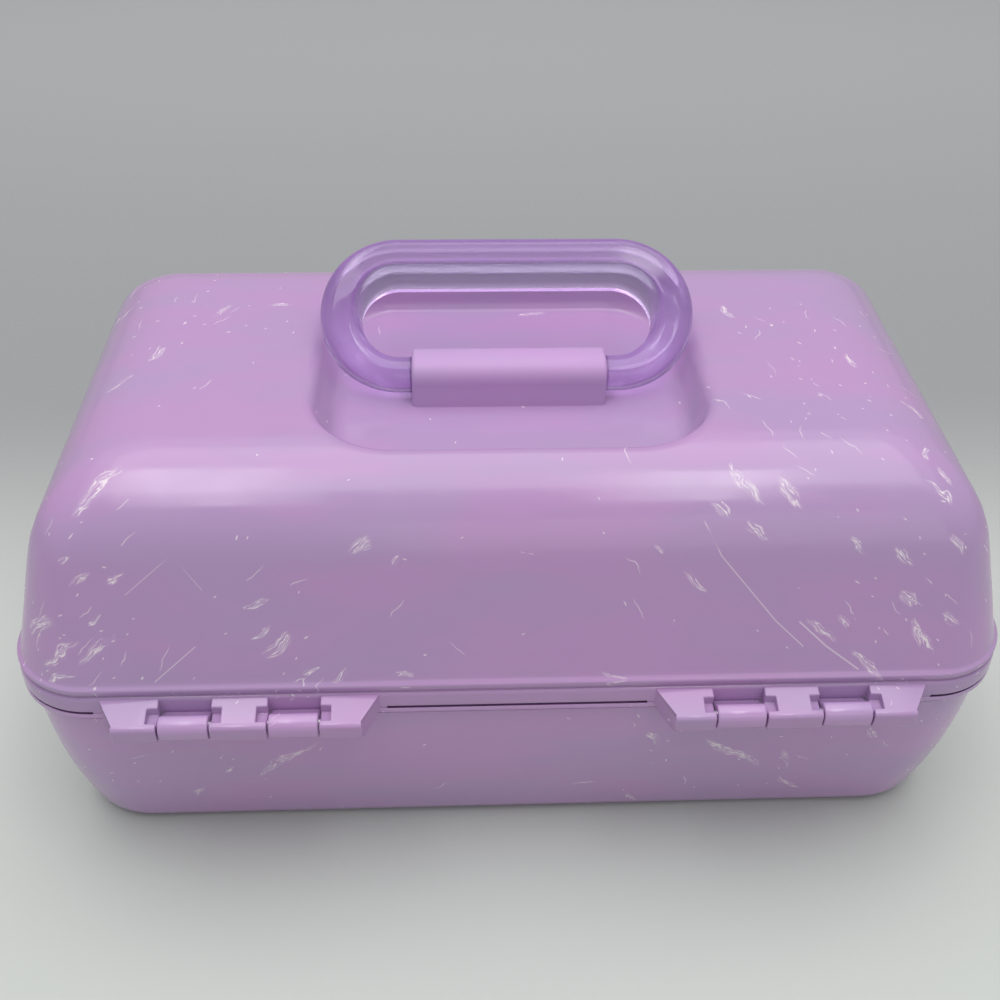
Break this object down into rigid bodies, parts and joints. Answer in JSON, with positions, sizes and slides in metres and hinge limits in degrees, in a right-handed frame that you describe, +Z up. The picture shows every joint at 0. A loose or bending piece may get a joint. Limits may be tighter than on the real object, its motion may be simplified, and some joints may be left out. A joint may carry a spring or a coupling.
{
  "type": "makeup case",
  "caption": "Hinged plastic vanity case with a domed lid, a recessed bail handle, a front snap latch, a lid mirror and a tray that rises with the lid",
  "frame": {"origin": "centre of the face that the base rests on", "axes": "+X along the length, -Y to the latch, +Y to the hinges, +Z up"},
  "size_m": [0.33, 0.2186, 0.1768],
  "materials": {
    "base_plastic": "moulded lavender plastic, satin, scuffed",
    "lid_plastic": "moulded lavender plastic, satin, scuffed",
    "bridge_plastic": "moulded lavender plastic, satin",
    "handle_plastic": "clear-tinted violet plastic, glossy",
    "latch_plastic": "tinted violet plastic, glossy",
    "frame_plastic": "moulded lavender plastic",
    "mirror_face": "silvered glass",
    "tray_plastic": "moulded pale lavender plastic",
    "arm_steel": "plated strip",
    "rivet_metal": "plain",
    "pin_steel": "plain wire",
    "screw_steel": "plain"
  },
  "bodies": {
    "base": {"base_tub": "base_plastic", "base_pivot_rivets": "rivet_metal"},
    "lid": {"lid_shell": "lid_plastic", "hinge_pin_left": "pin_steel", "hinge_pin_right": "pin_steel", "handle_bridge": "bridge_plastic", "latch_pin": "pin_steel", "mirror_frame": "frame_plastic", "mirror_glass": "mirror_face", "mirror_screws": "screw_steel", "lid_link_studs": "rivet_metal"},
    "handle": {"handle_bail": "handle_plastic"},
    "latch": {"latch_tab": "latch_plastic"},
    "rear_arms": {"rear_arm_left": "arm_steel", "rear_arm_right": "arm_steel", "link_rivets": "rivet_metal"},
    "front_arms": {"front_arm_left": "arm_steel", "front_arm_right": "arm_steel"},
    "tray": {"tray": "tray_plastic", "tray_rivets": "rivet_metal"},
    "lift_links": {"lift_link_left": "arm_steel", "lift_link_right": "arm_steel"}
  },
  "joints": [
    {"name": "lid_hinge", "type": "hinge", "parent": "base", "child": "lid", "pos_m": [0, 0.1055, 0.0755], "axis": [-1, 0, 0], "range_deg": [0, 100]},
    {"name": "handle_pivot", "type": "hinge", "parent": "lid", "child": "handle", "pos_m": [0, 0.005, 0.1408], "axis": [-1, 0, 0], "range_deg": [-4, 108]},
    {"name": "latch_pivot", "type": "hinge", "parent": "lid", "child": "latch", "pos_m": [0, -0.1044, 0.08015], "axis": [-1, 0, 0], "range_deg": [0, 100]},
    {"name": "rear_arm_pivot", "type": "hinge", "parent": "base", "child": "rear_arms", "pos_m": [0, 0.06, 0.06], "axis": [-1, 0, 0], "range_deg": [0, 100]},
    {"name": "front_arm_pivot", "type": "hinge", "parent": "base", "child": "front_arms", "pos_m": [0, -0.002, 0.06], "axis": [-1, 0, 0], "range_deg": [0, 100]},
    {"name": "tray_level", "type": "hinge", "parent": "rear_arms", "child": "tray", "pos_m": [0, 0.00058, 0.06835], "axis": [-1, 0, 0], "range_deg": [-100, 0]},
    {"name": "link_pivot", "type": "hinge", "parent": "lid", "child": "lift_links", "pos_m": [0, 0.06985, 0.08051], "axis": [-1, 0, 0], "range_deg": [-100, 0]}
  ],
  "couplings": [
    {"joint": "rear_arm_pivot", "follows": "lid_hinge", "ratio": 1},
    {"joint": "front_arm_pivot", "follows": "lid_hinge", "ratio": 1},
    {"joint": "tray_level", "follows": "lid_hinge", "ratio": -1},
    {"joint": "link_pivot", "follows": "lid_hinge", "ratio": -1}
  ]
}
